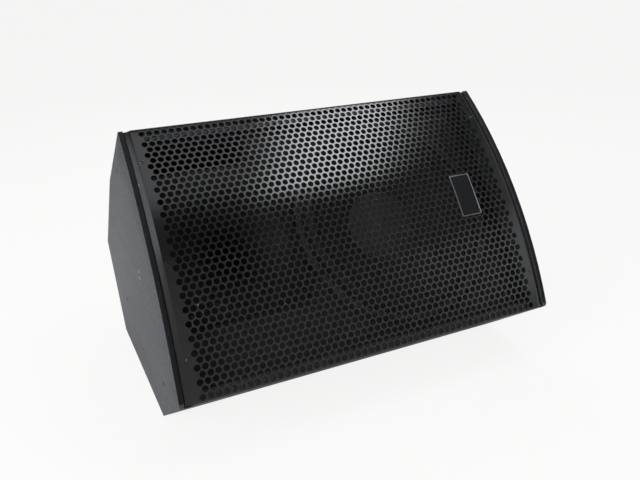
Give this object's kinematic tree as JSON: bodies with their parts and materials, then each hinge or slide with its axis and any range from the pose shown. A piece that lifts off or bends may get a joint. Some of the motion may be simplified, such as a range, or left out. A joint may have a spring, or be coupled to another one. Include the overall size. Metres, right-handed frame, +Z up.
{
  "type": "stage_monitor_wedge",
  "caption": "Black plywood floor monitor wedge with a bowed perforated steel grille, a large woofer, a round horn in a square flange, a corner port, a recessed handle and side inputs",
  "frame": {"origin": "On the ground, midway between the side panels and midway between the front and the back of the outline", "axes": "+X runs along the width towards the woofer end, -Y is the way that the grille faces, +Z is up"},
  "size_m": [0.558, 0.4886, 0.3843],
  "materials": {
    "cabinet_paint": "textured black paint on plywood",
    "grille_paint": "satin black powder coat",
    "baffle_paint": "flat black paint",
    "bare_plywood": "unfinished",
    "frame_paint": "black paint",
    "paper_cone": "matt black pulp",
    "treated_cloth": "doped cloth",
    "gasket_foam": "foam",
    "ferrite": "pressed ferrite",
    "plated_steel": "zinc plated",
    "moulded_black": "moulded",
    "titanium": "formed foil",
    "copper": "enamelled wire",
    "fibreboard": "hard pressed board",
    "capacitor_film": "plastic sleeve",
    "resistor_ceramic": "cement",
    "rubber": "matt",
    "plate_enamel": "enamel"
  },
  "bodies": {
    "cabinet": {"side_panel_left": "cabinet_paint", "side_panel_right": "cabinet_paint", "top_panel": "cabinet_paint", "rear_upper_panel": "cabinet_paint", "rear_panel": "cabinet_paint", "floor_panel": "cabinet_paint", "toe_panel": "cabinet_paint", "front_baffle": "baffle_paint", "port_shelf": "baffle_paint", "port_wall": "baffle_paint", "batten_toe": "bare_plywood", "batten_top": "bare_plywood", "batten_left": "bare_plywood", "batten_right": "bare_plywood", "front_grille": "grille_paint", "grille_plate": "plate_enamel", "woofer_frame": "frame_paint", "woofer_gasket": "gasket_foam", "woofer_surround": "treated_cloth", "woofer_spider": "treated_cloth", "woofer_top_plate": "plated_steel", "woofer_magnet": "ferrite", "woofer_yoke": "plated_steel", "horn_flare": "moulded_black", "horn_driver_front_plate": "plated_steel", "horn_driver_magnet": "ferrite", "horn_driver_pole": "plated_steel", "horn_driver_back_plate": "plated_steel", "horn_driver_rear_cap": "moulded_black", "crossover_board": "fibreboard", "crossover_woofer_coil": "copper", "crossover_horn_coil": "copper", "crossover_capacitor_large": "capacitor_film", "crossover_capacitor_small": "capacitor_film", "crossover_resistor": "resistor_ceramic", "woofer_lead": "rubber", "horn_lead": "rubber", "input_lead": "rubber", "handle_cup": "moulded_black", "handle_bar": "moulded_black", "input_dish": "moulded_black", "input_socket_front": "moulded_black", "input_socket_rear": "moulded_black", "foot_front_left": "rubber", "foot_front_right": "rubber", "foot_rear_left": "rubber", "foot_rear_right": "rubber"},
    "woofer_moving": {"woofer_cone": "paper_cone", "woofer_dust_cap": "paper_cone", "woofer_voice_coil": "copper"},
    "horn_moving": {"horn_diaphragm": "titanium"}
  },
  "joints": [
    {"name": "woofer_travel", "type": "slide", "parent": "cabinet", "child": "woofer_moving", "axis": [0, 0.8192, -0.5736], "range_m": [-0.004, 0.004], "stiffness_N_per_m": 5000},
    {"name": "horn_diaphragm_travel", "type": "slide", "parent": "cabinet", "child": "horn_moving", "axis": [0, 0.8192, -0.5736], "range_m": [-0.0004, 0.0004], "stiffness_N_per_m": 5000}
  ]
}
